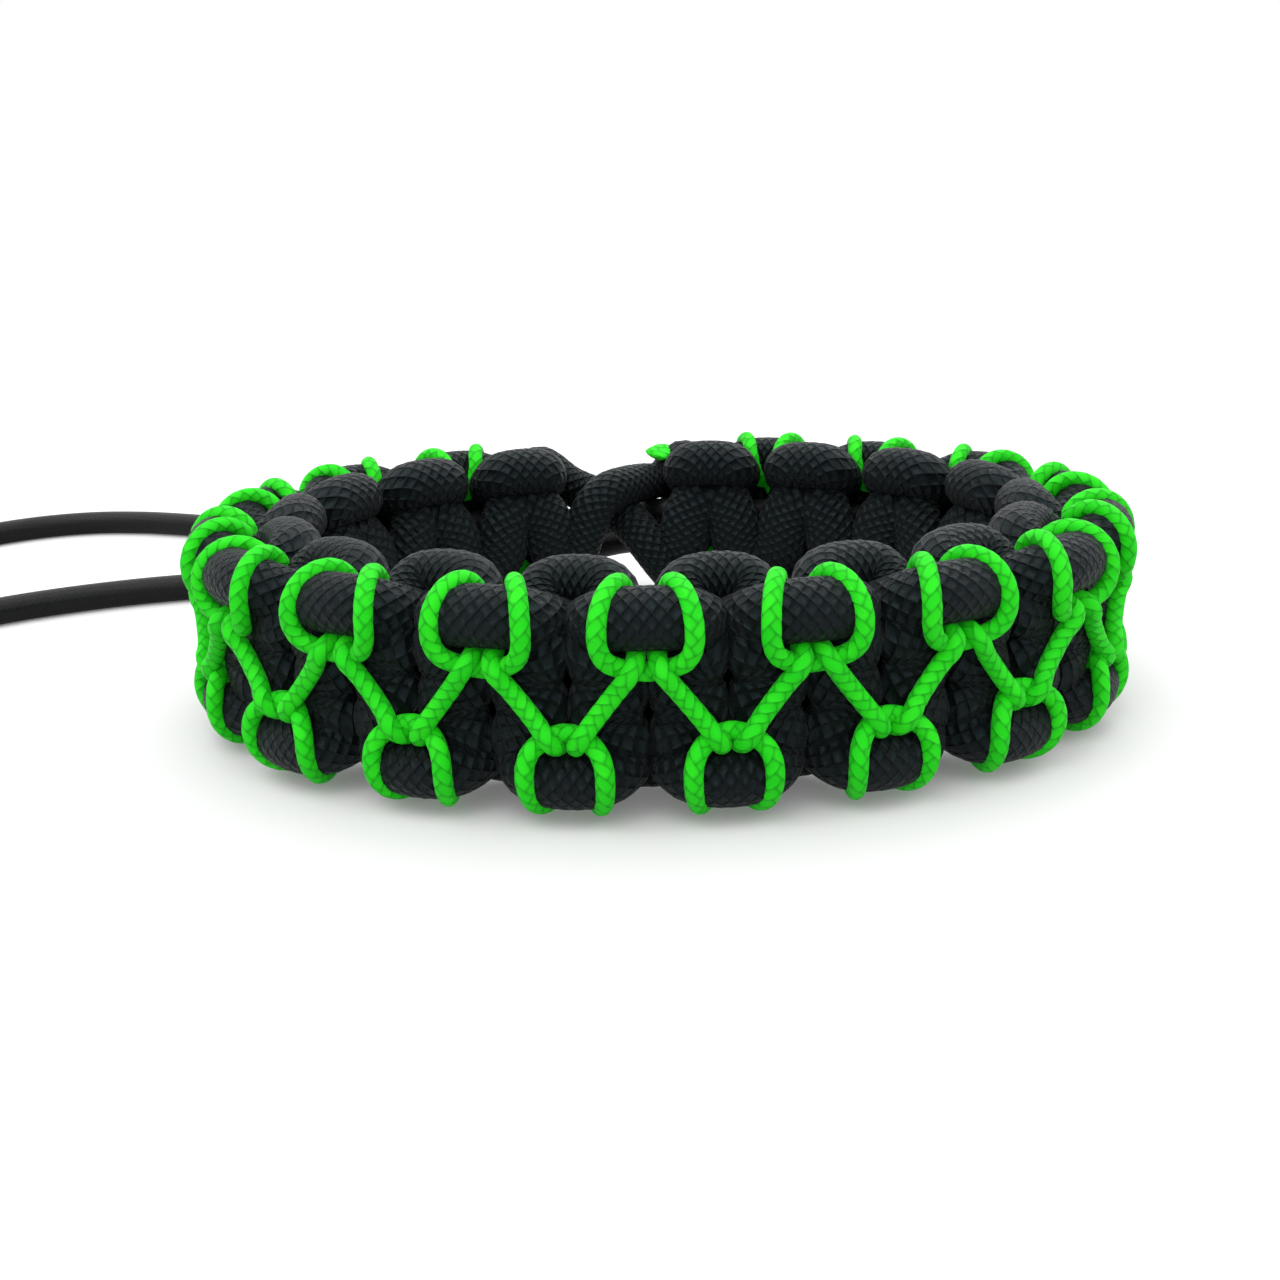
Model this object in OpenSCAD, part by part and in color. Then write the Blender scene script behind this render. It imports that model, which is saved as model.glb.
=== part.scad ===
// Braided cord bracelet: a flat band of square knots tied round two thin core
// cords, closed to a loop by one open crossing, with a fine bright lace
// hitched round the knots' outer side loops and the core cords' free tails.
// X is the long way across the wrist hole, Z is the band's width.

/* [Wrist loop] */
// Length of the loop along X, between the middles of the band
loop_length = 61.2; // [56:0.2:90]
// Depth of the loop along Y, between the middles of the band
loop_depth = 45.8; // [43:0.2:70]
// Bend radius of the loop's two ends, at the middle of the band
end_radius = 19.9; // [18:0.1:21]

/* [Knots] */
// Diameter of the braided working cord
cord_d = 4.2; // [3.8:0.05:4.4]
// Pitch of one half knot along the middle of the band
knot_pitch = 4.75; // [4.6:0.01:5.2]
// Diameter of the two core cords inside the knots
core_d = 2.2; // [1.6:0.05:2.4]
// Diameter of the core cords' free tails, which no knot squeezes
tail_d = 2.6; // [2:0.05:2.8]
// Free space between the two core cords
core_gap = 0.1; // [0.05:0.05:0.5]

/* [Closure] */
// Length of the open crossing between the first and last half knot
closure_length = 13.4; // [12.6:0.1:16]
// Distance of the closure's middle from the loop's middle, towards -X
closure_shift = 3.6; // [0:0.1:6]
// Gap between a working cord's tucked ends
tuck_gap = 0.2; // [0.1:0.05:0.4]

/* [Lace] */
// Diameter of the bright lace
lace_d = 1.25; // [0.9:0.05:1.4]
// Free space between the lace and the knots below it
lace_clearance = 0.06; // [0.03:0.01:0.2]
// Width of the lace's flattened, melted end
lace_end_width = 2.4; // [1.6:0.1:3]

/* [Hidden] */
$fn = 48;

cord_sides = 8;
lace_sides = 6;
// Rings over which a tail widens, share of a knot step that a core cord runs
// past the last knot, and share of the lace's thickness left at its melted end.
tail_widening = 4;
core_overrun = 0.13;
melted_share = 0.6;
core_r = core_d / 2;
core_z = (core_d + core_gap) / 2;
lace_r = lace_d / 2;

// The loop's middle line is an oval of two flat and two tight arcs.
end_x = loop_length / 2 - end_radius;
rise = loop_depth / 2 - end_radius;
flat_y = (end_x * end_x - rise * rise) / (2 * rise);
flat_radius = loop_depth / 2 + flat_y;
flat_turn = atan2(end_x, flat_y);
flat_arc = flat_radius * flat_turn * PI / 180;
quarter_arc = flat_arc + end_radius * (90 - flat_turn) * PI / 180;
loop_arc = 4 * quarter_arc;

// Half knots from one side of the closure to the other, an odd number of steps.
knot_steps = 2 * floor((loop_arc - closure_length) / knot_pitch / 2) + 1;
knot_step = (loop_arc - closure_length) / knot_steps;
first_knot = closure_shift + closure_length / 2;

// One working cord's rings between two face crossings, from the face crossing
// to the middle of the side loop: place along the band as a share of the knot
// step, angle round the nearer core cord's middle, distance from that core
// cord's skin, half width, half thickness (shares of cord_d) and section turn.
outer_rows = [
    [-0.057,  -2,  0.368, 0.483, 0.281,   0],
    [-0.261,  47,  0.240, 0.234, 0.190,  46],
    [-0.240, 108,  0.519, 0.267, 0.304,  40],
    [ 0.101, 112,  0.930, 0.341, 0.488,  38],
];
inner_rows = [
    [-0.051,  -2,  0.368, 0.430, 0.281,   0],
    [-0.255,  50,  0.257, 0.236, 0.193,  42],
    [-0.244, 114,  0.480, 0.264, 0.302,  44],
    [ 0.097, 127,  0.952, 0.341, 0.488,  47],
];

// The working cords' bare stretches over the closure: place as a share of its
// length, then outward and upward place, half width and half thickness as
// shares of cord_d, and section turn.
outer_bridge = [
    [0.152, -0.505, -1.195, 0.345, 0.410, -25],
    [0.238, -0.605, -0.880, 0.360, 0.345, -10],
    [0.320, -0.565, -0.460, 0.375, 0.340,   0],
    [0.405, -0.260, -0.050, 0.390, 0.335,   0],
    [0.500,  0.120,  0.230, 0.395, 0.335,   0],
    [0.630,  0.430,  0.560, 0.400, 0.340,  -5],
    [0.790,  0.590,  0.880, 0.375, 0.390, -25],
];
inner_bridge = [
    [0.182,  0.565,  1.030, 0.335, 0.385, -38],
    [0.305,  0.260,  0.975, 0.360, 0.350, -15],
    [0.430, -0.120,  0.925, 0.385, 0.345,   0],
    [0.560, -0.430,  0.850, 0.390, 0.340,   0],
    [0.660, -0.570,  0.570, 0.400, 0.340,   0],
    [0.730, -0.600,  0.180, 0.400, 0.340,   0],
    [0.785, -0.580, -0.300, 0.395, 0.345,   0],
    [0.845, -0.520, -0.860, 0.365, 0.380, -15],
];

// The lace's rings round one outer side loop: place as a share of the knot
// step from that loop's middle, angle round its centre, reach (share of
// cord_d) and how many lace diameters it is lifted over itself.
hitch_rows = [
    [-0.190, -60, 0.530, 1.0],
    [ 0.000, -50, 0.520, 1.0],
    [ 0.316, -50, 0.420, 0.5],
    [ 0.560, -55, 0.440, 0],
    [ 0.650,   5, 0.290, 0],
    [ 0.540,  76, 0.380, 0],
    [ 0.260, 113, 0.470, 0],
    [ 0.000, 122, 0.460, 0],
    [-0.260, 113, 0.470, 0],
    [-0.540,  76, 0.380, 0],
    [-0.650,   5, 0.290, 0],
    [-0.560, -55, 0.440, 0],
    [-0.253, -62, 0.520, 0],
    [ 0.000, -65, 0.530, 0],
];
// The lace's last rings, laid over the closure's first side loop and melted
// flat there: as above, with the share of the flattened width at the end.
lace_finish_rows = [
    [-0.350,  -6, 0.540,   0],
    [-0.300,  18, 0.610,   0],
    [-0.220,  45, 0.540, 0.3],
    [-0.100,  78, 0.490, 0.8],
    [ 0.040,  97, 0.440,   1],
    [ 0.170, 112, 0.450,   1],
];

// Free tails of the core cords, laid on the table: each leaves the last knot,
// comes down behind the band and runs left. Their ends are cut.
upper_tail_route = [
    [2.3, 22.8, 9.4], [1.6, 22.9, 9.5], [0.9, 23.3, 9.3], [-0.1, 24.3, 9.1], [-1.3, 25.7, 8.9],
    [-2.9, 27.3, 8.7], [-5.0, 29.1, 8.1], [-7.7, 31.1, 6.9], [-10.9, 33.6, 5.1], [-14.7, 36.5, 3.2],
    [-19, 39.5, 1.9], [-24.5, 42.8, 1.4], [-30.5, 46.3, 1.3], [-36.5, 49.8, 1.3], [-42.5, 53.1, 1.3],
    [-48.5, 56.3, 1.3], [-54.5, 59.1, 1.3], [-60.5, 61.1, 1.3], [-66.5, 61.6, 1.3], [-72, 60, 1.3],
    [-77, 56.4, 1.3], [-79.5, 53.7, 1.3],
];
lower_tail_route = [
    [2.3, 22.8, 7.1], [1.6, 22.9, 7.1], [0.9, 23.5, 6.8], [-0.1, 24.6, 6.5], [-1.3, 25.9, 6.1],
    [-2.9, 27.2, 5.7], [-5.1, 28.5, 5.0], [-8, 29.6, 4.0], [-11.8, 30.6, 2.6], [-16.2, 31.5, 1.6],
    [-21.5, 32.3, 1.3], [-27.5, 32.7, 1.3], [-33.5, 32.6, 1.3], [-39.5, 32, 1.3], [-45, 31, 1.3],
    [-50.5, 29.7, 1.3], [-56, 27.6, 1.3], [-61, 24.9, 1.3], [-66, 21.2, 1.3],
];

function unit(v) = v / norm(v);
function mix(a, b, t) = a + (b - a) * t;
// Flips a ring row to the other edge of the band.
function flipped(row, side) = [row[0], row[1], side * row[2], row[3], row[4], side * row[5]];

// Angle of the outward direction at an arc length from the middle of the
// loop's back, counted towards -X, and the point at a distance outside it.
function turn_at(arc) = let (
        a = (arc % loop_arc + loop_arc) % loop_arc,
        half = a > loop_arc / 2 ? loop_arc - a : a,
        v = half > quarter_arc ? loop_arc / 2 - half : half,
        turn = v <= flat_arc ? v / flat_radius * 180 / PI
            : flat_turn + (v - flat_arc) / end_radius * 180 / PI,
        around = half > quarter_arc ? 180 - turn : turn)
    90 + (a > loop_arc / 2 ? -around : around);
function loop_point(arc, out) = let (
        turn = turn_at(arc),
        c = cos(turn),
        s = sin(turn),
        on_end = abs(c) > sin(flat_turn))
    on_end ? [sign(c) * end_x + (end_radius + out) * c, (end_radius + out) * s]
        : [(flat_radius + out) * c, -sign(s) * flat_y + (flat_radius + out) * s];
function place(row) = let (p = loop_point(first_knot + row[0], row[1])) [p[0], p[1], mid_z + row[2]];
function outward(along, lean) = let (turn = turn_at(first_knot + along))
    [cos(turn) * cos(lean), sin(turn) * cos(lean), sin(lean)];

// Rings of a tube through points, with each ring's section direction.
function heading(points, i) = let (
        back = points[i] - points[max(i - 1, 0)],
        ahead = points[min(i + 1, len(points) - 1)] - points[i])
    unit((norm(back) > 0 ? unit(back) : [0, 0, 0]) + (norm(ahead) > 0 ? unit(ahead) : [0, 0, 0]));
function ring(point, along, up, half_w, half_t, sides) = let (
        v = unit(up - along * (up * along)),
        u = cross(along, v))
    [for (k = [0:sides - 1]) point + u * half_w * cos(360 * k / sides) + v * half_t * sin(360 * k / sides)];

module tube(points, ups, halves, sides) {
    count = len(points);
    rings = [for (i = [0:count - 1])
        ring(points[i], heading(points, i), ups[i], halves[i][0], halves[i][1], sides)];
    walls = [for (i = [0:count - 2], k = [0:sides - 1]) let (
            a = i * sides + k,
            b = i * sides + (k + 1) % sides)
        each [[a, b, b + sides], [a, b + sides, a + sides]]];
    caps = [[for (k = [sides - 1:-1:0]) k], [for (k = [0:sides - 1]) (count - 1) * sides + k]];
    polyhedron(points = [for (r = rings) each r], faces = concat(walls, caps));
}

// A tube along the band, from rows of place, out, up, halves and lean.
module band_tube(rows, sides) {
    tube([for (r = rows) place(r)], [for (r = rows) outward(r[0], r[5])],
        [for (r = rows) [r[3], r[4]]], sides);
}

// Absolute ring rows of one working cord. face is 1 on the band's outer face
// and -1 on its inner face, and side is the edge that the cord arrives at.
function knot_row(row, face, side, along) = flipped([
        along,
        face * cos(row[1]) * (core_r + row[2] * cord_d),
        core_z + sin(row[1]) * (core_r + row[2] * cord_d),
        row[3] * cord_d, row[4] * cord_d, face * row[5]], side);
function arriving(rows, face, knot, side) = [for (r = rows)
    knot_row(r, face, side, (knot + r[0]) * knot_step)];
function leaving(rows, face, knot, side) = [for (i = [len(rows) - 1:-1:0])
    knot_row(rows[i], face, side, (knot - rows[i][0]) * knot_step)];
function knot_side(knot) = knot % 2 == 0 ? 1 : -1;
function strand_rows(rows, face) = [for (knot = [0:knot_steps - 1]) each concat(
    arriving(rows, face, knot, face * knot_side(knot)),
    leaving(rows, face, knot + 1, face * knot_side(knot)))];
function bridge_rows(table) = [for (r = table) [
    knot_steps * knot_step + r[0] * closure_length, r[1] * cord_d, r[2] * cord_d,
    r[3] * cord_d, r[4] * cord_d, r[5]]];
// A point between two rows, used where a cord's two ends are tucked together.
function tucked(rows, share) = mix(rows[1], rows[2], share);

outer_start = leaving(outer_rows, 1, 0, -1);
inner_start = leaving(inner_rows, -1, 0, 1);
tuck_share = tuck_gap / norm([for (k = [0:2]) outer_start[2][k] - outer_start[1][k]]) / 2;
function wrapped(row) = [row[0] + loop_arc, row[1], row[2], row[3], row[4], row[5]];

// Middle of the outer side loops, which the lace goes round.
side_loop = inner_rows[3];
side_loop_out = -cos(side_loop[1]) * (core_r + side_loop[2] * cord_d);
side_loop_up = core_z + sin(side_loop[1]) * (core_r + side_loop[2] * cord_d);
function hitch_row(row, knot, side) = let (
        reach = row[2] * cord_d + lace_r + lace_clearance + row[3] * lace_d)
    flipped([
        (knot + 0.5 + row[0]) * knot_step,
        side_loop_out + reach * cos(row[1]),
        side_loop_up + reach * sin(row[1]),
        lace_r, lace_r, row[1]], side);
hitch_tops = [for (r = hitch_rows) hitch_row(r, 0, 1)[2]];
mid_z = max(hitch_tops) + lace_r;

function finish_row(row) = let (
        reach = row[2] * cord_d + lace_r + lace_clearance,
        width = mix(lace_r, lace_end_width / 2, row[3]))
    [
        (knot_steps + 0.5 + row[0]) * knot_step,
        inner_bridge[0][1] * cord_d + reach * cos(row[1]),
        inner_bridge[0][2] * cord_d + reach * sin(row[1]),
        width, lace_r * mix(1, melted_share, row[3]), row[1]];

module outer_strand() {
    color("#17181b")
        band_tube(concat(
            [tucked(outer_start, 0.5 + tuck_share)], [outer_start[2], outer_start[3]],
            strand_rows(outer_rows, 1),
            arriving(outer_rows, 1, knot_steps, -1),
            bridge_rows(outer_bridge),
            [for (k = [0:1]) wrapped(inner_start[k])],
            [wrapped(tucked(inner_start, 0.5 - tuck_share))]), cord_sides);
}

module inner_strand() {
    color("#202226")
        band_tube(concat(
            [tucked(inner_start, 0.5 + tuck_share)], [inner_start[2], inner_start[3]],
            strand_rows(inner_rows, -1),
            arriving(inner_rows, -1, knot_steps, 1),
            bridge_rows(inner_bridge),
            [for (k = [0:1]) wrapped(outer_start[k])],
            [wrapped(tucked(outer_start, 0.5 - tuck_share))]), cord_sides);
}

// A core cord inside the knots, as arcs of the loop's middle line.
module core_arc(from, to, radius, x, y) {
    if (to > from)
        translate([x, y]) rotate(from) rotate_extrude(angle = to - from)
            translate([radius, 0]) circle(core_r);
}
module core(side) {
    start = turn_at(first_knot);
    stop = turn_at(first_knot + (knot_steps + core_overrun) * knot_step);
    end_turn = 90 - flat_turn;
    color("#141416")
        translate([0, 0, mid_z + side * core_z])
            union() {
                core_arc(start, 90 + flat_turn, flat_radius, 0, -flat_y);
                core_arc(90 + flat_turn, 270 - flat_turn, end_radius, -end_x, 0);
                core_arc(270 - flat_turn, 270 + flat_turn, flat_radius, 0, flat_y);
                core_arc(-end_turn, end_turn, end_radius, end_x, 0);
                core_arc(end_turn, stop + 360 * (stop < 0 ? 1 : 0), flat_radius, 0, -flat_y);
            }
}
module upper_core() { core(1); }
module lower_core() { core(-1); }

module lace() {
    color("#22e02c")
        band_tube(concat(
            [for (knot = [0:knot_steps - 1], row = hitch_rows) hitch_row(row, knot, -knot_side(knot))],
            [for (row = lace_finish_rows) finish_row(row)]), lace_sides);
}

// A tail widens from the squeezed core cord to its free size over its first rings.
function tail_r(i) = mix(core_r, tail_d / 2, min(i / tail_widening, 1));
module tail(route) {
    tube(route, [for (p = route) [0, 0, 1]],
        [for (i = [0:len(route) - 1]) [tail_r(i), tail_r(i)]], cord_sides);
}
module upper_tail() { color("#0e0e10") tail(upper_tail_route); }
module lower_tail() { color("#0e0e10") tail(lower_tail_route); }

outer_strand();
inner_strand();
upper_core();
lower_core();
lace();
upper_tail();
lower_tail();
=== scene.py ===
"""Braided cord bracelet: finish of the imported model, with its braid, lace, cords, light and camera."""
import math

import bpy
import numpy as np
from mathutils import Matrix, Vector


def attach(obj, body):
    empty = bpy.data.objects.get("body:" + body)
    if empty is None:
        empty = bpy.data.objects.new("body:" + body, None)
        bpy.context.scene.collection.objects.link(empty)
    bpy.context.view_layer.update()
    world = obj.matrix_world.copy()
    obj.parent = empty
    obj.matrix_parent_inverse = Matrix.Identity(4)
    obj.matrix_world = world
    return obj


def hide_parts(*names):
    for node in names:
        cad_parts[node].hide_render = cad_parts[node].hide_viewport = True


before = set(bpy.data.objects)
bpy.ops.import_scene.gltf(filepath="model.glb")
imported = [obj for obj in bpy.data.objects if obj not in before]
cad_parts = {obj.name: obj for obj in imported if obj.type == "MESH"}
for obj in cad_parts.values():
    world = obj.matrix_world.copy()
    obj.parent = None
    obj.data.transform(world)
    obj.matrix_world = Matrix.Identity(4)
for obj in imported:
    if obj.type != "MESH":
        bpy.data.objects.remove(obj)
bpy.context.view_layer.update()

# Lengths are in millimetres, as in the model, and MM takes them to metres.
MM = 0.001

# The camera, fitted to the photo's knots, with its angles in degrees.
LENS = 42.787
CAMERA_PLACE = (-1.632, -116.305, 40.433)
CAMERA_TILT = 72.616
CAMERA_ROLL = -1.614

# The loop, knots and cords, with the model's sizes. A tail widens over its first
# TAIL_WIDENING points, and MID_Z is the height of the band's middle.
LOOP_LENGTH = 61.2
LOOP_DEPTH = 45.8
END_RADIUS = 19.9
CORD_D = 4.2
KNOT_PITCH = 4.75
CORE_D = 2.2
CORE_GAP = 0.1
TAIL_D = 2.6
CLOSURE_LENGTH = 13.4
CLOSURE_SHIFT = 3.6
TUCK_GAP = 0.2
LACE_D = 1.25
LACE_CLEARANCE = 0.06
LACE_END_WIDTH = 2.4
MELTED_SHARE = 0.6
TAIL_WIDENING = 4
MID_Z = 8.294

CORE_R = CORE_D / 2
CORE_Z = (CORE_D + CORE_GAP) / 2
LACE_R = LACE_D / 2
END_X = LOOP_LENGTH / 2 - END_RADIUS
RISE = LOOP_DEPTH / 2 - END_RADIUS
FLAT_Y = (END_X * END_X - RISE * RISE) / (2 * RISE)
FLAT_RADIUS = LOOP_DEPTH / 2 + FLAT_Y
FLAT_TURN = math.atan2(END_X, FLAT_Y)
FLAT_ARC = FLAT_RADIUS * FLAT_TURN
QUARTER_ARC = FLAT_ARC + END_RADIUS * (math.pi / 2 - FLAT_TURN)
LOOP_ARC = 4 * QUARTER_ARC
KNOT_STEPS = 2 * math.floor((LOOP_ARC - CLOSURE_LENGTH) / KNOT_PITCH / 2) + 1
KNOT_STEP = (LOOP_ARC - CLOSURE_LENGTH) / KNOT_STEPS
FIRST_KNOT = CLOSURE_SHIFT + CLOSURE_LENGTH / 2

# One working cord's sections between two face crossings: place along the band
# as a share of the knot step, angle round the nearer core, distance from its
# skin, half width, half thickness (shares of the cord) and turn. The cords are
# soft here, fuller than their solids and pressed into each other.
OUTER_ROWS = [
    [-0.057, -2, 0.370, 0.580, 0.325, 0],
    [0.130, 46, 0.480, 0.530, 0.400, 42],
    [-0.030, 97, 0.600, 0.470, 0.440, 48],
    [0.104, 112, 0.930, 0.470, 0.490, 38],
]
INNER_ROWS = [
    [-0.051, -2, 0.370, 0.560, 0.325, 0],
    [-0.245, 46, 0.350, 0.540, 0.400, 38],
    [-0.244, 113, 0.560, 0.440, 0.440, 44],
    [0.085, 128, 0.967, 0.460, 0.480, 47],
]
# The bare stretches over the closure: place as a share of its length, then
# outward and upward place, half width and half thickness, and turn. They are
# fuller than their solids too.
OUTER_BRIDGE = [
    [0.105, -0.500, -1.130, 0.345, 0.410, -25],
    [0.190, -0.600, -0.740, 0.360, 0.345, -10],
    [0.280, -0.560, -0.340, 0.375, 0.340, 0],
    [0.375, -0.290, 0.020, 0.390, 0.335, 0],
    [0.480, 0.090, 0.250, 0.395, 0.335, 0],
    [0.630, 0.430, 0.540, 0.400, 0.340, -5],
    [0.790, 0.590, 0.830, 0.375, 0.390, -25],
]
INNER_BRIDGE = [
    [0.182, 0.560, 0.880, 0.335, 0.385, -38],
    [0.305, 0.260, 0.880, 0.360, 0.350, -15],
    [0.430, -0.120, 0.880, 0.385, 0.345, 0],
    [0.560, -0.430, 0.820, 0.390, 0.340, 0],
    [0.660, -0.570, 0.560, 0.400, 0.340, 0],
    [0.730, -0.600, 0.180, 0.400, 0.340, 0],
    [0.785, -0.580, -0.300, 0.395, 0.345, 0],
    [0.845, -0.520, -0.860, 0.365, 0.380, -15],
]
BRIDGE_FULLNESS = 1.15
# Half of one hitch of the lace, from the middle of the diagonal that comes to
# it up to the link between its two turns: place from the side loop's middle as
# a share of the knot step, then outward and upward place as shares of the cord.
HALF_HITCH = [
    [-0.500, 1.090, 0.000],
    [-0.330, 1.110, 0.280],
    [-0.215, 1.180, 0.480],
    [-0.155, 1.130, 0.610],
    [-0.132, 0.980, 0.690],
    [-0.130, 0.720, 0.760],
    [-0.150, 0.420, 0.900],
    [-0.200, 0.200, 1.190],
    [-0.265, 0.220, 1.520],
    [-0.320, 0.430, 1.710],
    [-0.390, 0.670, 1.755],
    [-0.475, 0.930, 1.670],
    [-0.535, 1.140, 1.460],
    [-0.560, 1.240, 1.190],
    [-0.548, 1.230, 0.930],
    [-0.480, 1.170, 0.730],
    [-0.350, 1.060, 0.600],
    [-0.180, 0.970, 0.520],
    [0.000, 0.940, 0.490],
]
# The hitches are tied tighter on the lower edge: their width there, and the last
# row of the diagonal, up to which the rows keep their place.
LOWER_HITCH_WIDTH = 0.86
LAST_DIAGONAL_ROW = 3
# The lace starts at this row of its first hitch.
LACE_START = 2
# The lace's melted end over the closure's first side loop: place from the loop,
# angle round it, reach as a share of the cord, and share of the flat width.
LACE_FINISH = [
    [-0.350, -6, 0.540, 0],
    [-0.300, 18, 0.610, 0],
    [-0.220, 45, 0.540, 0.3],
    [-0.100, 78, 0.490, 0.8],
    [0.040, 97, 0.440, 1],
    [0.170, 112, 0.450, 1],
]
# The free tails' routes, with the model's points.
UPPER_TAIL_ROUTE = [
    [2.3, 22.8, 9.4], [1.6, 22.9, 9.5], [0.9, 23.3, 9.3], [-0.1, 24.3, 9.1], [-1.3, 25.7, 8.9],
    [-2.9, 27.3, 8.7], [-5.0, 29.1, 8.1], [-7.7, 31.1, 6.9], [-10.9, 33.6, 5.1], [-14.7, 36.5, 3.2],
    [-19, 39.5, 1.9], [-24.5, 42.8, 1.4], [-30.5, 46.3, 1.3], [-36.5, 49.8, 1.3], [-42.5, 53.1, 1.3],
    [-48.5, 56.3, 1.3], [-54.5, 59.1, 1.3], [-60.5, 61.1, 1.3], [-66.5, 61.6, 1.3], [-72, 60, 1.3],
    [-77, 56.4, 1.3], [-79.5, 53.7, 1.3],
]
LOWER_TAIL_ROUTE = [
    [2.3, 22.8, 7.1], [1.6, 22.9, 7.1], [0.9, 23.5, 6.8], [-0.1, 24.6, 6.5], [-1.3, 25.9, 6.1],
    [-2.9, 27.2, 5.7], [-5.1, 28.5, 5.0], [-8, 29.6, 4.0], [-11.8, 30.6, 2.6], [-16.2, 31.5, 1.6],
    [-21.5, 32.3, 1.3], [-27.5, 32.7, 1.3], [-33.5, 32.6, 1.3], [-39.5, 32, 1.3], [-45, 31, 1.3],
    [-50.5, 29.7, 1.3], [-56, 27.6, 1.3], [-61, 24.9, 1.3], [-66, 21.2, 1.3],
]

# The braids: columns of picks round the cord, length of one pick along it,
# crossings that a pick goes over, sides of the mesh to a column and rings to a
# pick, height of the picks, turns and wave length of the braid's slow twist, and
# length over which an end is rounded.
CORD_BRAID = {"columns": 11, "pick": 0.74, "span": 1, "sides": 4, "rings": 2,
              "relief": 0.13, "twist": 0.05, "wave": 11.0, "end_round": 0.6}
LACE_BRAID = {"columns": 4, "pick": 0.88, "span": 2, "sides": 5, "rings": 3,
              "relief": 0.05, "twist": 0.06, "wave": 9.0, "end_round": 0.5}
TAIL_BRAID = {"columns": 16, "pick": 0.70, "span": 2, "sides": 2, "rings": 2,
              "relief": 0.02, "twist": 0.15, "wave": 23.0, "end_round": 0.25}

# The form of one pick: how strongly it is rounded across, how far its ends dive
# under the picks that cross them, how full its top is (the smaller the power, the
# fuller), and the height in it that lies on the cord's own surface.
PICK_ROUND = 3.4
DIVE = 0.75
FULL_TOP = 0.6
SURFACE_HEIGHT = 0.7

# Points round an ellipse that its girth is measured with, the least of its squared
# size that a rounded end keeps, and the twist's second wave: its share and how
# many times faster it is.
ELLIPSE_STEPS = 144
LEAST_END = 0.02
SECOND_WAVE_SHARE = 0.5
SECOND_WAVE_RATE = 2.3


def unit(vectors):
    return vectors / np.linalg.norm(vectors, axis=-1, keepdims=True)


# The loop's middle line

def turn_at(arc):
    """Angle of the outward direction at an arc length from the middle of the loop's back."""
    around_loop = np.mod(arc, LOOP_ARC)
    half = np.where(around_loop > LOOP_ARC / 2, LOOP_ARC - around_loop, around_loop)
    quarter = np.where(half > QUARTER_ARC, LOOP_ARC / 2 - half, half)
    end_turn = FLAT_TURN + (quarter - FLAT_ARC) / END_RADIUS
    turn = np.where(quarter <= FLAT_ARC, quarter / FLAT_RADIUS, end_turn)
    turn = np.where(half > QUARTER_ARC, math.pi - turn, turn)
    return math.pi / 2 + np.where(around_loop > LOOP_ARC / 2, -turn, turn)


def band_points(rows):
    """Points of rows that begin with a place along the band and the outward and upward place."""
    rows = np.asarray(rows, float)
    turn = turn_at(FIRST_KNOT + rows[:, 0])
    cosine = np.cos(turn)
    sine = np.sin(turn)
    on_end = np.abs(cosine) > math.sin(FLAT_TURN)
    radius = np.where(on_end, END_RADIUS, FLAT_RADIUS) + rows[:, 1]
    x = np.where(on_end, np.sign(cosine) * END_X, 0) + radius * cosine
    y = np.where(on_end, 0, -np.sign(sine) * FLAT_Y) + radius * sine
    return np.stack([x, y, MID_Z + rows[:, 2]], axis=1)


def outward(along, lean):
    """Outward directions at places along the band, leaned upward by an angle in degrees."""
    turn = turn_at(FIRST_KNOT + np.asarray(along, float))
    lean = np.radians(lean)
    return np.stack([np.cos(turn) * np.cos(lean), np.sin(turn) * np.cos(lean), np.sin(lean)], axis=1)


# The cords' sections

def flipped(row, side):
    """A section flipped to the band's other edge, where side is -1."""
    return [row[0], row[1], side * row[2], row[3], row[4], side * row[5]]


def knot_row(row, face, side, along):
    """A section in millimetres. face is 1 on the band's outer face, side 1 on its upper edge."""
    reach = CORE_R + row[2] * CORD_D
    angle = math.radians(row[1])
    return flipped([
        along, face * math.cos(angle) * reach, CORE_Z + math.sin(angle) * reach,
        row[3] * CORD_D, row[4] * CORD_D, face * row[5]], side)


def arriving(rows, face, knot, side):
    return [knot_row(row, face, side, (knot + row[0]) * KNOT_STEP) for row in rows]


def leaving(rows, face, knot, side):
    return [knot_row(row, face, side, (knot - row[0]) * KNOT_STEP) for row in reversed(rows)]


def knot_side(knot):
    """1 at even knots and -1 at odd ones."""
    return 1 if knot % 2 == 0 else -1


def strand_rows(rows, face):
    """A cord's sections through all the knots, which go from edge to edge over its face."""
    made = []
    for knot in range(KNOT_STEPS):
        side = face * knot_side(knot)
        made += arriving(rows, face, knot, side)
        made += leaving(rows, face, knot + 1, side)
    return made


def bridge_rows(table):
    """Sections over the closure, in millimetres."""
    start = KNOT_STEPS * KNOT_STEP
    return [
        [start + row[0] * CLOSURE_LENGTH, row[1] * CORD_D, row[2] * CORD_D,
         row[3] * CORD_D * BRIDGE_FULLNESS, row[4] * CORD_D * BRIDGE_FULLNESS, row[5]] for row in table]


def tucked(rows, share):
    """A section between the second and third rows."""
    return [a + (b - a) * share for a, b in zip(rows[1], rows[2])]


def wrapped(row):
    """The same section, one whole loop further along."""
    return [row[0] + LOOP_ARC] + list(row[1:])


# Each working cord starts within one leg of the first knot, and the other cord's
# end meets it there.
OUTER_START = leaving(OUTER_ROWS, 1, 0, -1)
INNER_START = leaving(INNER_ROWS, -1, 0, 1)
TUCK_SHARE = TUCK_GAP / math.dist(OUTER_START[2][:3], OUTER_START[1][:3]) / 2


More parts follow.
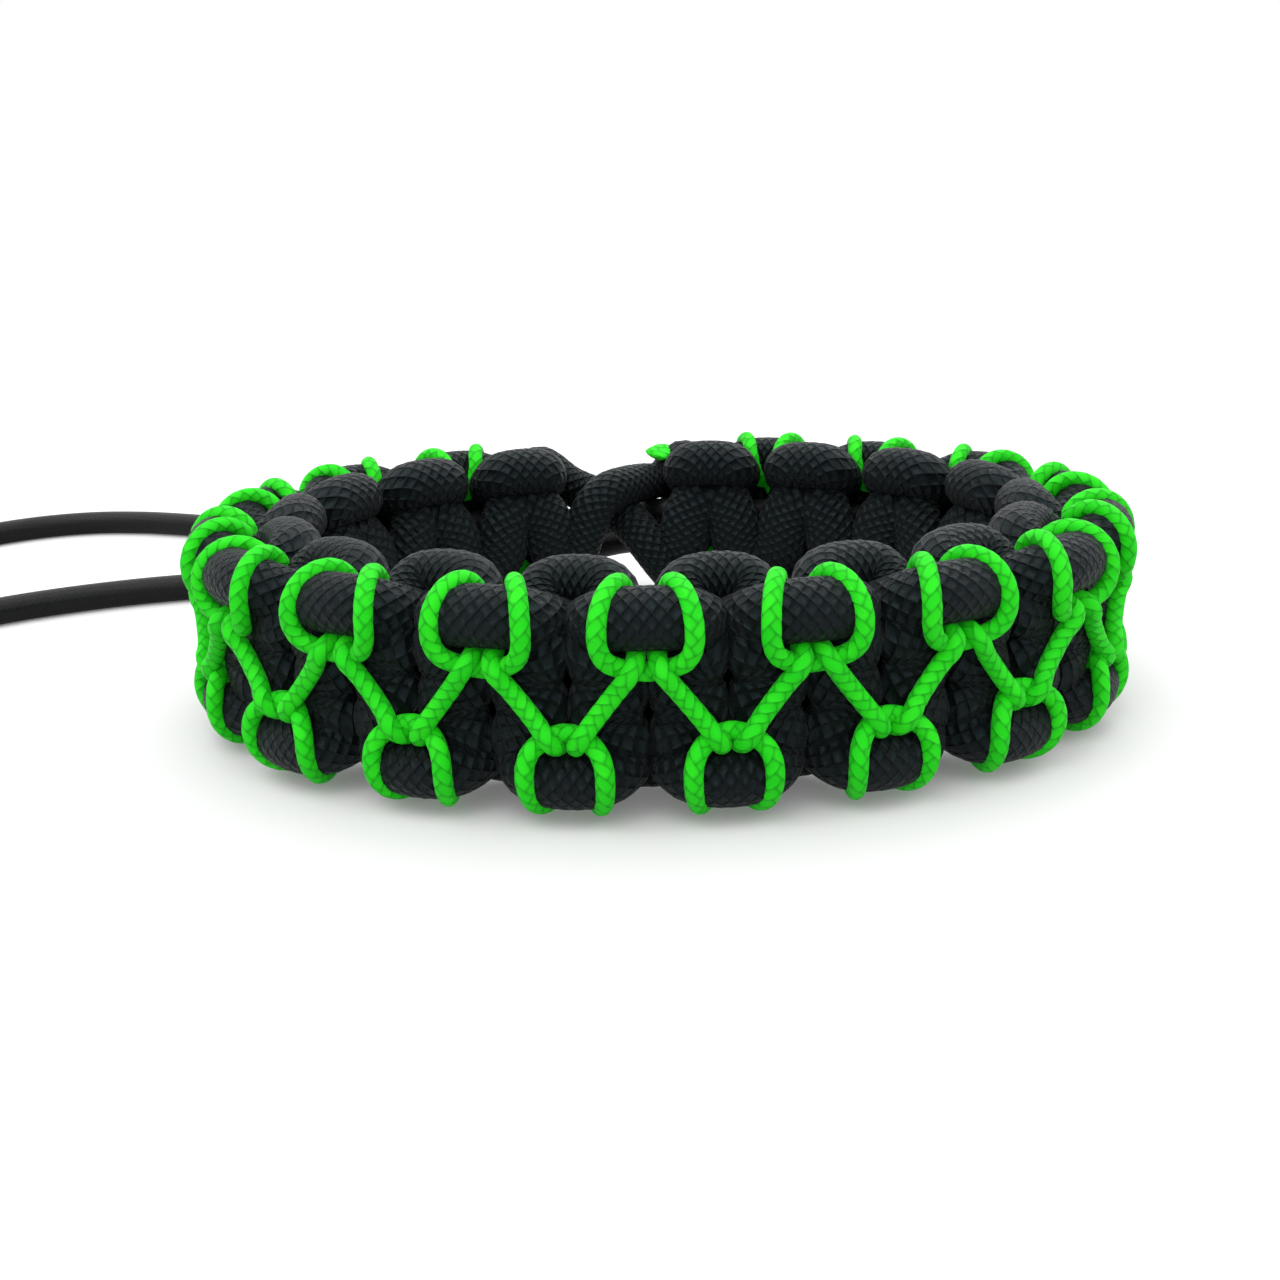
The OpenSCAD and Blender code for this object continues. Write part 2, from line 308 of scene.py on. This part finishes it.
def working_cord(rows, face, start, bridge, end):
    """All sections of one working cord, from its tucked start to its tucked end."""
    return (
        [tucked(start, 0.5 + TUCK_SHARE), start[2], start[3]]
        + strand_rows(rows, face)
        + arriving(rows, face, KNOT_STEPS, -face)
        + bridge_rows(bridge)
        + [wrapped(end[0]), wrapped(end[1]), wrapped(tucked(end, 0.5 - TUCK_SHARE))])


# Smooth curves

def spline(values, places, steps):
    """Values on a smooth curve through the rows of values, which lie at the given places."""
    gaps = np.diff(places)[:, None]
    slopes = np.diff(values, axis=0) / gaps
    inner = (slopes[:-1] * gaps[1:] + slopes[1:] * gaps[:-1]) / (gaps[1:] + gaps[:-1])
    tangents = np.concatenate([slopes[:1], inner, slopes[-1:]])
    parts = []
    for t in np.arange(steps) / steps:
        parts.append(
            (1 + 2 * t) * (1 - t) ** 2 * values[:-1] + t * (1 - t) ** 2 * gaps * tangents[:-1]
            + t * t * (3 - 2 * t) * values[1:] - t * t * (1 - t) * gaps * tangents[1:])
    return np.concatenate([np.stack(parts, axis=1).reshape(-1, values.shape[1]), values[-1:]])


def smoothed(points, values, spacing, steps=12):
    """Evenly spaced points and values on the smooth curve through the points, and their places on it."""
    places = np.concatenate([[0], np.cumsum(np.linalg.norm(np.diff(points, axis=0), axis=1) ** 0.5)])
    fine = spline(np.hstack([points, values]), places, steps)
    length = np.concatenate([[0], np.cumsum(np.linalg.norm(np.diff(fine[:, :3], axis=0), axis=1))])
    count = max(2, round(length[-1] / spacing) + 1)
    along = np.linspace(0, length[-1], count)
    even = np.stack([np.interp(along, length, column) for column in fine.T], axis=1)
    return even[:, :3], even[:, 3:], along


def carried(tangents, first, last=None):
    """Section directions carried along a curve without twist, or with an even twist to end at last."""
    made = [first]
    for before, after in zip(tangents[:-1], tangents[1:]):
        turn = Vector(before).rotation_difference(Vector(after))
        made.append(np.array(turn @ Vector(made[-1])))
    made = np.array(made)
    made = unit(made - tangents * np.sum(made * tangents, axis=1, keepdims=True))
    if last is None:
        return made
    across = np.cross(tangents, made)
    angle = math.atan2(np.dot(last, across[-1]), np.dot(last, made[-1]))
    angles = np.linspace(0, angle, len(made))[:, None]
    return made * np.cos(angles) + across * np.sin(angles)


# Braided tubes

def pick_height(x, y, span):
    """Height of the braid's picks, 0 in the grooves and 1 on top, at a column x and a pick y."""
    i, j = x - y, x + y
    i_near, j_near = np.round(i), np.round(j)
    kind = np.mod(i_near + j_near, 2 * span)
    half = (span - 1) * (0.5 - np.mod(kind, 2))
    first = kind < span - 0.5
    across = np.where(first, i - i_near, j - j_near)
    length = (np.where(first, j - j_near, i - i_near) - half) * 2 / span
    return (np.sqrt(1 - PICK_ROUND * across ** 2) * (1 - DIVE * length ** 2)) ** FULL_TOP


def even_angles(half_w, half_t, shares):
    """Angles round each ellipse whose points have the given shares of its girth before them."""
    angles = np.linspace(0, 2 * math.pi, ELLIPSE_STEPS + 1)
    steps = np.hypot(
        half_w[:, None] * np.diff(np.cos(angles))[None, :],
        half_t[:, None] * np.diff(np.sin(angles))[None, :])
    girth = np.concatenate([np.zeros((len(steps), 1)), np.cumsum(steps, axis=1)], axis=1)
    whole = np.floor(shares)
    part = shares - whole
    found = [np.interp(p * g[-1], g, angles) for p, g in zip(part, girth)]
    return np.array(found) + 2 * math.pi * whole


def slow_twist(along, braid, start):
    """A slow, uneven twist of the braid along a cord, in turns. start shifts its wave."""
    wave = along / braid["wave"]
    second = np.sin(wave * SECOND_WAVE_RATE + 2 * start)
    return braid["twist"] * (np.sin(wave + start) + SECOND_WAVE_SHARE * second)


def braided_tube(name, centres, ups, half_w, half_t, along, braid, start):
    """A closed tube with the braid's relief, and a UV map of braid columns and picks."""
    columns = braid["columns"]
    sides = columns * braid["sides"]
    rings = len(centres)
    tangents = unit(np.gradient(centres, axis=0))
    v = unit(ups - tangents * np.sum(ups * tangents, axis=1, keepdims=True))
    u = np.cross(tangents, v)
    ends = np.minimum(along, along[-1] - along)
    to_end = np.clip(1 - ends / braid["end_round"], 0, 1)
    narrow = np.sqrt(np.clip(1 - to_end ** 2, LEAST_END, 1))
    half_w = half_w * narrow
    half_t = half_t * narrow

    column = np.arange(sides) / braid["sides"]
    pick = np.arange(rings) / braid["rings"]
    shares = column[None, :] / columns + slow_twist(along, braid, start)[:, None]
    angles = even_angles(half_w, half_t, shares)
    sideways = u[:, None, :] * np.cos(angles)[..., None]
    upward = v[:, None, :] * np.sin(angles)[..., None]
    wide = half_w[:, None, None]
    thick = half_t[:, None, None]
    normals = unit(sideways * thick + upward * wide)
    height = pick_height(column[None, :], pick[:, None], braid["span"])
    lift = braid["relief"] * (height - SURFACE_HEIGHT)[..., None] * narrow[:, None, None]
    points = centres[:, None, :] + sideways * wide + upward * thick + normals * lift

    ring = np.arange(rings - 1)[:, None] * sides
    k = np.arange(sides)[None, :]
    after = (k + 1) % sides
    next_ring = ring + sides
    quads = np.stack([ring + k, ring + after, next_ring + after, next_ring + k], axis=-1).reshape(-1, 4)
    caps = [list(range(sides - 1, -1, -1)), [(rings - 1) * sides + n for n in range(sides)]]
    mesh = bpy.data.meshes.new(name)
    mesh.from_pydata((points.reshape(-1, 3) * MM).tolist(), [], quads.tolist() + caps)

    across = np.arange(sides + 1) / braid["sides"]
    grid = np.ones((rings - 1, sides))
    here = across[None, :-1] * grid
    there = across[None, 1:] * grid
    low = pick[:-1, None] * grid
    high = pick[1:, None] * grid
    corners = [(here, low), (there, low), (there, high), (here, high)]
    uv = np.stack([np.stack(corner, axis=-1) for corner in corners], axis=2).reshape(-1, 2)
    cap_uv = [[across[n], pick[0]] for n in caps[0]] + [[across[n], pick[-1]] for n in range(sides)]
    layer = mesh.uv_layers.new(name="braid")
    layer.data.foreach_set("uv", np.concatenate([uv, cap_uv]).ravel())
    mesh.polygons.foreach_set("use_smooth", np.ones(len(mesh.polygons), dtype=bool))
    mesh.update()
    piece = bpy.data.objects.new(name, mesh)
    bpy.context.scene.collection.objects.link(piece)
    return piece


# Materials

class Nodes:
    """Short calls for the nodes of one material."""

    def __init__(self, name):
        self.material = bpy.data.materials.new(name)
        self.material.use_nodes = True
        self.tree = self.material.node_tree
        self.shader = self.tree.nodes["Principled BSDF"]

    def put(self, socket, value):
        if isinstance(value, bpy.types.NodeSocket):
            self.tree.links.new(value, socket)
        else:
            socket.default_value = value

    def math(self, operation, *values):
        node = self.tree.nodes.new("ShaderNodeMath")
        node.operation = operation
        for socket, value in zip(node.inputs, values):
            self.put(socket, value)
        return node.outputs[0]

    def mix(self, share, a, b):
        node = self.tree.nodes.new("ShaderNodeMix")
        node.data_type = "RGBA"
        self.put(node.inputs[0], share)
        self.put(node.inputs[6], a)
        self.put(node.inputs[7], b)
        return node.outputs[2]

    def spread(self, value, low, high, to_low, to_high):
        node = self.tree.nodes.new("ShaderNodeMapRange")
        for socket, number in zip(node.inputs, (value, low, high, to_low, to_high)):
            self.put(socket, number)
        return node.outputs[0]

    def noise(self, vector, scale, detail=2.0):
        node = self.tree.nodes.new("ShaderNodeTexNoise")
        self.put(node.inputs["Vector"], vector)
        node.inputs["Scale"].default_value = scale
        node.inputs["Detail"].default_value = detail
        return node.outputs[0]

    def random(self, x, y):
        """A steady random number for each pair of whole numbers."""
        node = self.tree.nodes.new("ShaderNodeTexWhiteNoise")
        node.noise_dimensions = "2D"
        self.put(node.inputs["Vector"], self.join(x, y))
        return node.outputs[0]

    def join(self, x, y, z=0.0):
        node = self.tree.nodes.new("ShaderNodeCombineXYZ")
        for socket, value in zip(node.inputs, (x, y, z)):
            self.put(socket, value)
        return node.outputs[0]

    def braid_place(self):
        node = self.tree.nodes.new("ShaderNodeUVMap")
        node.uv_map = "braid"
        parts = self.tree.nodes.new("ShaderNodeSeparateXYZ")
        self.put(parts.inputs[0], node.outputs[0])
        return parts.outputs[0], parts.outputs[1]

    def object_place(self):
        return self.tree.nodes.new("ShaderNodeTexCoord").outputs["Object"]

    def bump(self, height, strength, distance):
        node = self.tree.nodes.new("ShaderNodeBump")
        node.inputs["Strength"].default_value = strength
        node.inputs["Distance"].default_value = distance
        self.put(node.inputs["Height"], height)
        self.put(self.shader.inputs["Normal"], node.outputs[0])


# Added to the numbers of the second direction's yarns, so that none is used twice.
SECOND_LANES = 500.0


def braid_picks(nodes, span):
    """The same picks as nodes: place across and along a pick, its height, and its random number."""
    x, y = nodes.braid_place()
    i = nodes.math("SUBTRACT", x, y)
    j = nodes.math("ADD", x, y)
    i_near = nodes.math("ROUND", i)
    j_near = nodes.math("ROUND", j)
    kind = nodes.math("FLOORED_MODULO", nodes.math("ADD", i_near, j_near), 2.0 * span)
    first = nodes.math("LESS_THAN", kind, span - 0.5)
    odd = nodes.math("FLOORED_MODULO", kind, 2.0)
    half = nodes.math("MULTIPLY", span - 1.0, nodes.math("SUBTRACT", 0.5, odd))
    i_part = nodes.math("SUBTRACT", i, i_near)
    j_part = nodes.math("SUBTRACT", j, j_near)

    def chosen(a, b):
        return nodes.math("ADD", b, nodes.math("MULTIPLY", first, nodes.math("SUBTRACT", a, b)))

    across = chosen(i_part, j_part)
    length = nodes.math("MULTIPLY", 2.0 / span, nodes.math("SUBTRACT", chosen(j_part, i_part), half))

    def hollowed(place, depth):
        squared = nodes.math("MULTIPLY", place, place)
        return nodes.math("SUBTRACT", 1.0, nodes.math("MULTIPLY", squared, depth))

    round_across = nodes.math("SQRT", nodes.math("MAXIMUM", hollowed(across, PICK_ROUND), 0.0))
    height = nodes.math("POWER", nodes.math("MULTIPLY", round_across, hollowed(length, DIVE)), FULL_TOP)
    middle = chosen(nodes.math("ADD", j_near, half), nodes.math("ADD", i_near, half))
    lane = chosen(i_near, nodes.math("ADD", j_near, SECOND_LANES))
    return across, length, height, nodes.random(lane, middle)


# The braid's shading: share of its shade that changes from yarn to yarn and scale of
# the rest, heights in a pick over which the painted shade in its grooves fades to the
# bare yarn colour, and the fibres' stretch along a pick, shift from pick to pick and
# share of its height.
YARN_SHARE = 0.45
SHADE_SCALE = 260.0
GROOVE_SHADE_HEIGHTS = (0.25, 0.75)
FIBRE_STRETCH = 1.3
FIBRE_SHIFT = 40.0
FIBRE_HEIGHT = 0.16


def braid_material(name, span, groove_shade, low, high, fibres, rough, relief, sheen, specular):
    """Braided yarn: painted shade in the grooves, soft rounded picks of uneven tone, and fine fibres along
    each pick.
    """
    nodes = Nodes(name)
    across, length, height, chance = braid_picks(nodes, span)
    place = nodes.object_place()
    soft = nodes.noise(place, SHADE_SCALE, 3.0)
    shade = nodes.math(
        "ADD", nodes.math("MULTIPLY", chance, YARN_SHARE), nodes.math("MULTIPLY", soft, 1 - YARN_SHARE))
    yarn = nodes.mix(shade, low, high)
    fibre_place = nodes.join(
        nodes.math("MULTIPLY", across, fibres),
        nodes.math("MULTIPLY", length, FIBRE_STRETCH),
        nodes.math("MULTIPLY", chance, FIBRE_SHIFT))
    streak = nodes.noise(fibre_place, 1.0, 2.0)
    # The base colour darkens toward the groove colour where a pick's height falls: painted shade in the
    # grooves between picks.
    unshaded_share = nodes.spread(height, *GROOVE_SHADE_HEIGHTS, 0.0, 1.0)
    nodes.put(nodes.shader.inputs["Base Color"], nodes.mix(unshaded_share, groove_shade, yarn))
    nodes.put(nodes.shader.inputs["Roughness"], nodes.spread(streak, 0.3, 0.7, rough - 0.08, rough + 0.10))
    profile = nodes.math("ADD", height, nodes.math("MULTIPLY", streak, FIBRE_HEIGHT))
    nodes.bump(profile, 1.0, relief * MM)
    nodes.shader.inputs["Sheen Weight"].default_value = sheen
    nodes.shader.inputs["Sheen Roughness"].default_value = 0.5
    nodes.shader.inputs["Specular IOR Level"].default_value = specular
    return nodes


def black_paracord():
    """The two working cords: matt black with a cool sheen."""
    nodes = braid_material(
        "black_paracord", CORD_BRAID["span"],
        # The first colour is painted shade for the creases between the picks.
        groove_shade=(0.0001, 0.0002, 0.0003, 1),
        low=(0.0005, 0.0012, 0.0015, 1),
        high=(0.0021, 0.0034, 0.0041, 1),
        fibres=9.0, rough=0.44, relief=0.42, sheen=0.02, specular=0.14)
    nodes.shader.inputs["Specular Tint"].default_value = (0.66, 0.92, 1.0, 1)
    return nodes.material


def neon_lace():
    """The lace: neon green, with a faint painted glow in place of its fluorescence, which lightens its
    shade.
    """
    nodes = braid_material(
        "neon_green_lace", LACE_BRAID["span"],
        # The first colour is painted shade for the creases between the picks.
        groove_shade=(0.001, 0.17, 0.002, 1),
        low=(0.002, 0.38, 0.003, 1),
        high=(0.018, 0.50, 0.006, 1),
        fibres=8.0, rough=0.62, relief=0.18, sheen=0.02, specular=0.12)
    # Painted glow: a constant green emission that lifts the lace's shaded parts.
    nodes.shader.inputs["Emission Color"].default_value = (0.01, 1.0, 0.01, 1)
    nodes.shader.inputs["Emission Strength"].default_value = 0.04
    return nodes.material


def smooth_cord():
    """The free tails: black, with a fine flat braid."""
    nodes = braid_material(
        "smooth_black_cord", TAIL_BRAID["span"],
        # The first colour is painted shade for the creases between the picks.
        groove_shade=(0.0004, 0.0004, 0.0005, 1),
        low=(0.0009, 0.0010, 0.0012, 1),
        high=(0.0024, 0.0026, 0.0030, 1),
        fibres=5.0, rough=0.42, relief=0.03, sheen=0.01, specular=0.16)
    return nodes.material


def core_cord():
    """The core cords inside the knots: fine cross-wound yarn, without a UV map."""
    nodes = Nodes("core_cord")
    place = nodes.object_place()
    coarse = nodes.noise(place, 900.0, 2.0)
    fine = nodes.noise(place, 3200.0, 2.0)
    nodes.put(nodes.shader.inputs["Base Color"],
              nodes.mix(coarse, (0.0006, 0.0006, 0.0008, 1), (0.0022, 0.0022, 0.0026, 1)))
    nodes.put(nodes.shader.inputs["Roughness"], nodes.spread(fine, 0.3, 0.7, 0.5, 0.7))
    nodes.shader.inputs["Specular IOR Level"].default_value = 0.16
    nodes.bump(nodes.math("ADD", coarse, nodes.math("MULTIPLY", fine, 0.5)), 0.6, 0.06 * MM)
    return nodes.material


def pale_floor():
    """A white table, lit a little from within, so that it meets the white background."""
    nodes = Nodes("pale_floor")
    place = nodes.object_place()
    nodes.put(nodes.shader.inputs["Base Color"],
              nodes.mix(nodes.noise(place, 6.0, 2.0), (0.44, 0.44, 0.443, 1), (0.45, 0.45, 0.45, 1)))
    nodes.shader.inputs["Roughness"].default_value = 0.75
    nodes.shader.inputs["Specular IOR Level"].default_value = 0.2
    nodes.shader.inputs["Emission Color"].default_value = (1.0, 1.0, 1.0, 1)
    nodes.shader.inputs["Emission Strength"].default_value = 0.14
    return nodes.material


# Pieces

def camera():
    data = bpy.data.cameras.new("camera")
    data.lens = LENS
    data.sensor_width = 36
    data.sensor_fit = "HORIZONTAL"
    data.clip_start = 0.005
    made = bpy.data.objects.new("camera", data)
    bpy.context.scene.collection.objects.link(made)
    made.matrix_world = (
        Matrix.Translation(Vector(CAMERA_PLACE) * MM)
        @ Matrix.Rotation(math.radians(CAMERA_TILT), 4, "X")
        @ Matrix.Rotation(math.radians(CAMERA_ROLL), 4, "Z"))
    bpy.context.scene.camera = made


def finish_piece(piece, material, slot, *nodes):
    """Gives a piece its material, puts it under the root body and hides the solids that it replaces. slot
    is not used.
    """
    piece.data.materials.append(material)
    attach(piece, "root")
    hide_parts(*nodes)


def tail(name, route, material, node, start):
    """A core cord's free tail. It widens from the squeezed core to its free size, and its end is cut."""
    route = np.array(route, float)
    radii = CORE_R + (TAIL_D / 2 - CORE_R) * np.minimum(np.arange(len(route)) / TAIL_WIDENING, 1)
    spacing = TAIL_BRAID["pick"] / TAIL_BRAID["rings"]
    centres, values, along = smoothed(route, radii[:, None], spacing)
    tangents = unit(np.gradient(centres, axis=0))
    ups = carried(tangents, np.array([0.0, 0.0, 1.0]))
    radius = values[:, 0] - TAIL_BRAID["relief"] * (1 - SURFACE_HEIGHT)
    piece = braided_tube(name, centres, ups, radius, radius, along, TAIL_BRAID, start)
    finish_piece(piece, material, "smooth_black_cord", node)
    return piece


def strand(name, rows, material, node, start):
    """A working cord, round and full between its knots, with its braid."""
    rows = np.array(rows, float)
    values = np.hstack([rows[:, 3:5], outward(rows[:, 0], rows[:, 5])])
    spacing = CORD_BRAID["pick"] / CORD_BRAID["rings"]
    centres, values, along = smoothed(band_points(rows), values, spacing)
    piece = braided_tube(name, centres, values[:, 2:], values[:, 0], values[:, 1], along, CORD_BRAID, start)
    finish_piece(piece, material, "black_paracord", node)
    return piece


def lace_rows():
    """Places along, out and up of the lace's middle line, with half width and half thickness."""
    rows = []
    for knot in range(KNOT_STEPS):
        side = -knot_side(knot)
        width = 1 if side > 0 else LOWER_HITCH_WIDTH
        half = [
            [place * (width if k > LAST_DIAGONAL_ROW else 1), out, up]
            for k, (place, out, up) in enumerate(HALF_HITCH)]
        first = half[LACE_START:] if knot == 0 else half[1:]
        path = first + [[-place, out, up] for place, out, up in reversed(half[:-1])]
        for place, out, up in path:
            rows.append([
                (knot + 0.5 + place) * KNOT_STEP, out * CORD_D, side * up * CORD_D, LACE_R, LACE_R])
    for place, angle, share, flat in LACE_FINISH:
        reach = share * CORD_D + LACE_R + LACE_CLEARANCE
        angle = math.radians(angle)
        rows.append([
            (KNOT_STEPS + 0.5 + place) * KNOT_STEP,
            INNER_BRIDGE[0][1] * CORD_D + reach * math.cos(angle),
            INNER_BRIDGE[0][2] * CORD_D + reach * math.sin(angle),
            LACE_R + (LACE_END_WIDTH / 2 - LACE_R) * flat, LACE_R * (1 + (MELTED_SHARE - 1) * flat)])
    return rows


def lace(material, start):
    """The lace: a zigzag with a two-turn hitch round each outer side loop, melted flat at its end."""
    rows = np.array(lace_rows())
    spacing = LACE_BRAID["pick"] / LACE_BRAID["rings"]
    centres, values, along = smoothed(band_points(rows), rows[:, 3:5], spacing)
    tangents = unit(np.gradient(centres, axis=0))
    first = outward([rows[0, 0]], [0])[0]
    last = outward([rows[-1, 0]], [LACE_FINISH[-1][1]])[0]
    ups = carried(tangents, first, last)
    piece = braided_tube("green_lace", centres, ups, values[:, 0], values[:, 1], along, LACE_BRAID, start)
    finish_piece(piece, material, "neon_green_lace", "lace")
    return piece


def floor():
    """A wide floor, 16 m each way, so that its edge stays out of sight."""
    half = 8.0
    mesh = bpy.data.meshes.new("floor")
    corners = [(-half, -half, 0), (half, -half, 0), (half, half, 0), (-half, half, 0)]
    mesh.from_pydata(corners, [], [(0, 1, 2, 3)])
    made = bpy.data.objects.new("floor", mesh)
    bpy.context.scene.collection.objects.link(made)
    mesh.materials.append(pale_floor())


def soft_light(name, place, size, power):
    """A large light that faces the middle of the floor, in metres and watts."""
    data = bpy.data.lights.new(name, "AREA")
    data.shape = "RECTANGLE"
    data.size, data.size_y = size
    data.energy = power
    made = bpy.data.objects.new(name, data)
    bpy.context.scene.collection.objects.link(made)
    made.location = place
    made.rotation_euler = (-Vector(place)).to_track_quat("-Z", "Y").to_euler()


def studio():
    """Two soft lights and a white sky, which grows brighter from the horizon upward."""
    floor()
    soft_light("key_light", place=(-0.25, -0.20, 0.75), size=(0.6, 0.5), power=2.0)
    soft_light("back_light", place=(0.30, 0.55, 0.60), size=(0.5, 0.4), power=1.0)
    world = bpy.data.worlds.new("studio")
    world.use_nodes = True
    tree = world.node_tree
    place = tree.nodes.new("ShaderNodeTexCoord")
    split = tree.nodes.new("ShaderNodeSeparateXYZ")
    tree.links.new(place.outputs["Generated"], split.inputs["Vector"])
    rise = tree.nodes.new("ShaderNodeMapRange")
    rise.inputs["From Min"].default_value = 0.1
    rise.inputs["To Min"].default_value = 1.0
    rise.inputs["To Max"].default_value = 2.8
    tree.links.new(split.outputs["Z"], rise.inputs["Value"])
    tree.links.new(rise.outputs["Result"], tree.nodes["Background"].inputs["Strength"])
    tree.nodes["Background"].inputs["Color"].default_value = (1.0, 1.0, 1.0, 1)
    bpy.context.scene.world = world
    bpy.context.scene.view_settings.view_transform = "Standard"


camera()
tail_material = smooth_cord()
tail("upper_tail_cord", UPPER_TAIL_ROUTE, tail_material, "upper_tail", 0.4)
tail("lower_tail_cord", LOWER_TAIL_ROUTE, tail_material, "lower_tail", 2.1)

cord_material = black_paracord()
strand("outer_working_cord", working_cord(OUTER_ROWS, 1, OUTER_START, OUTER_BRIDGE, INNER_START),
       cord_material, "outer_strand", 0.3)
strand("inner_working_cord", working_cord(INNER_ROWS, -1, INNER_START, INNER_BRIDGE, OUTER_START),
       cord_material, "inner_strand", 1.9)
lace(neon_lace(), 1.0)

core_material = core_cord()
for name in ("upper_core", "lower_core"):
    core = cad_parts[name]
    if not core.material_slots:
        core.data.materials.append(core_material)
    for slot in core.material_slots:
        slot.material = core_material

studio()
